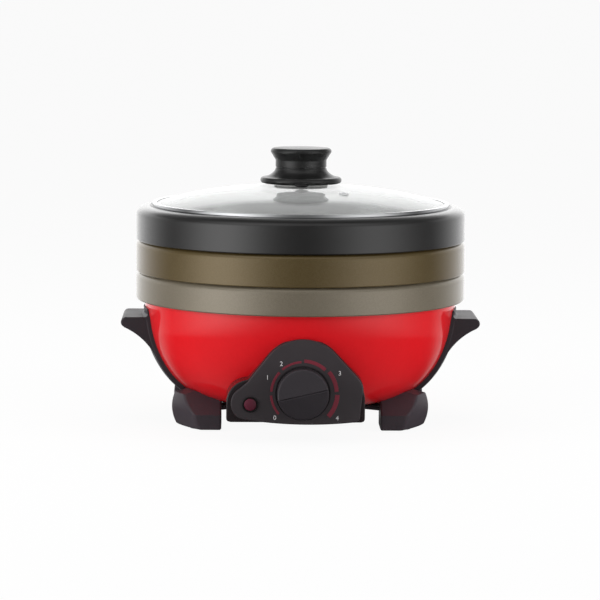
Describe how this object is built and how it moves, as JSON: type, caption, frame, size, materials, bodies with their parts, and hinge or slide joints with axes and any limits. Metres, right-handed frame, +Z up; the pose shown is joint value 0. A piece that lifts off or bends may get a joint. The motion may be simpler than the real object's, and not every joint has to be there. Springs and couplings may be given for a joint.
{
  "type": "electric multicooker",
  "caption": "Electric multicooker: a heated red bowl-shaped base with legs, ear handles and a control dial, nesting interchangeable pots and a lift-off domed glass lid.",
  "frame": {"origin": "middle of the footprint's box, on the table under the feet", "axes": "+Z up along the pot axis, the control panel faces -Y, +X to the right seen from the front"},
  "size_m": [0.3202, 0.3025, 0.2453],
  "materials": {
    "tempered_glass": "clear polished",
    "polished_steel": "polished stainless",
    "black_phenolic": "satin moulded phenolic",
    "silicone": "matt silicone",
    "zinc_steel": "zinc plated",
    "black_coating": "satin black non-stick coating",
    "bronze_coating": "satin metallic bronze coating",
    "champagne_coating": "satin metallic champagne coating",
    "red_lacquer": "glossy red lacquer",
    "aluminium_sheet": "drawn bright sheet",
    "cast_aluminium": "die cast, turned top",
    "element_steel": "heat-dulled tube",
    "black_steel": "black powder coat",
    "ceramic": "ceramic and urea moulding",
    "black_plastic": "satin moulded plastic",
    "panel_plastic": "fine-textured charcoal moulding",
    "dial_plastic": "satin charcoal moulding",
    "lamp_red": "translucent dark red lens",
    "pad_rubber": "matt rubber",
    "copper": "drawn copper",
    "brown_insulation": "silicone sleeve",
    "black_insulation": "silicone sleeve",
    "blue_insulation": "silicone sleeve"
  },
  "bodies": {
    "cooker_base": {"outer_shell": "red_lacquer", "inner_liner": "aluminium_sheet", "hot_plate": "cast_aluminium", "heating_element": "element_steel", "element_clips": "zinc_steel", "clip_screws": "zinc_steel", "plate_posts": "zinc_steel", "post_screws": "zinc_steel", "base_plate": "black_steel", "base_screws": "zinc_steel", "base_nuts": "zinc_steel", "terminal_block": "ceramic", "cord_gland": "black_plastic", "control_housing": "black_plastic", "control_panel": "panel_plastic", "panel_screws": "zinc_steel", "thermostat_body": "ceramic", "thermostat_screws": "zinc_steel", "capillary_bulb": "copper", "lamp_lens": "lamp_red", "lamp_body": "ceramic", "left_handle": "black_phenolic", "right_handle": "black_phenolic", "handle_screws": "zinc_steel", "front_left_leg": "black_phenolic", "front_right_leg": "black_phenolic", "rear_left_leg": "black_phenolic", "rear_right_leg": "black_phenolic", "foot_pads": "pad_rubber", "live_lead": "brown_insulation", "switched_lead": "black_insulation", "neutral_lead": "blue_insulation", "lamp_leads": "black_insulation"},
    "control_dial": {"dial": "dial_plastic", "thermostat_spindle": "zinc_steel"},
    "lower_pot": {"grey_pot": "champagne_coating"},
    "middle_pot": {"bronze_pot": "bronze_coating"},
    "upper_pot": {"black_pot": "black_coating"},
    "glass_lid": {"glass_dome": "tempered_glass", "lid_rim": "polished_steel", "knob_grip": "black_phenolic", "knob_base": "black_phenolic", "knob_gasket": "silicone", "knob_washer": "zinc_steel", "knob_screw": "zinc_steel", "vent_eyelet": "polished_steel"}
  },
  "joints": [
    {"name": "lower_pot_lift", "type": "slide", "parent": "cooker_base", "child": "lower_pot", "axis": [0, 0, 1], "range_m": [0, 0.12]},
    {"name": "middle_pot_lift", "type": "slide", "parent": "lower_pot", "child": "middle_pot", "axis": [0, 0, 1], "range_m": [0, 0.12]},
    {"name": "upper_pot_lift", "type": "slide", "parent": "middle_pot", "child": "upper_pot", "axis": [0, 0, 1], "range_m": [0, 0.12]},
    {"name": "lid_lift", "type": "slide", "parent": "upper_pot", "child": "glass_lid", "axis": [0, 0, 1], "range_m": [0, 0.1]},
    {"name": "dial_turn", "type": "hinge", "parent": "cooker_base", "child": "control_dial", "pos_m": [0, -0.13725, 0.0434], "axis": [0, 1, 0], "range_deg": [-28, 234]}
  ]
}
